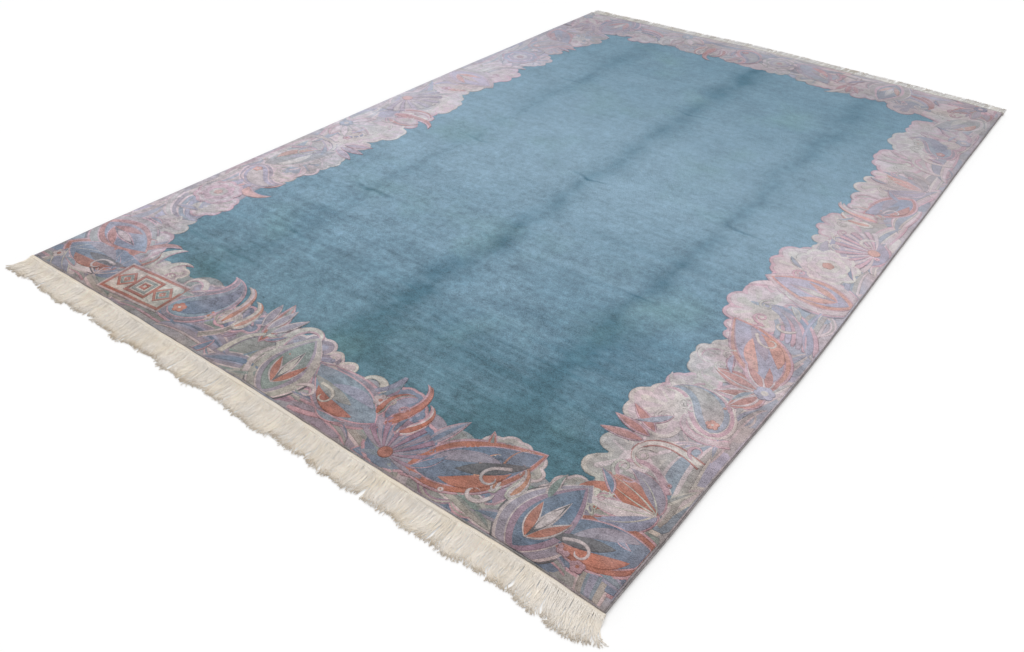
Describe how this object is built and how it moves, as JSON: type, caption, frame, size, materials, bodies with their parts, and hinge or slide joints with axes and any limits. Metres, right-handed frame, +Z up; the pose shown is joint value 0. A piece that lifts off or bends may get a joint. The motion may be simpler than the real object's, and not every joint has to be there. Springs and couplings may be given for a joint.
{
  "type": "hand-knotted wool rug",
  "caption": "Rectangular hand-knotted wool rug lying flat, with a plain field, a carved scrolling border, overcast sides and a cotton fringe at both ends.",
  "frame": {"origin": "on the floor, under the middle of the rug's outline with its fringes", "axes": "+X across the rug, from its left long side to its right long side; +Y along the warps, from the near fringe to the far fringe; +Z up, out of the pile"},
  "size_m": [2.0284, 3.1872, 0.014],
  "materials": {
    "pile_wool": "deep cut wool pile, teal blue field, soft lustre",
    "selvedge_wool": "wool yarn overcast, matt dark grey",
    "web_cotton": "plain-woven undyed cotton, matt",
    "fringe_cotton": "undyed cotton warp ends, loose and slightly curled, matt"
  },
  "bodies": {
    "root": {"rug_body": "pile_wool", "selvedge_left": "selvedge_wool", "selvedge_right": "selvedge_wool", "end_web_near": "web_cotton", "end_web_far": "web_cotton", "fringe_near": "fringe_cotton", "fringe_far": "fringe_cotton"}
  },
  "joints": []
}
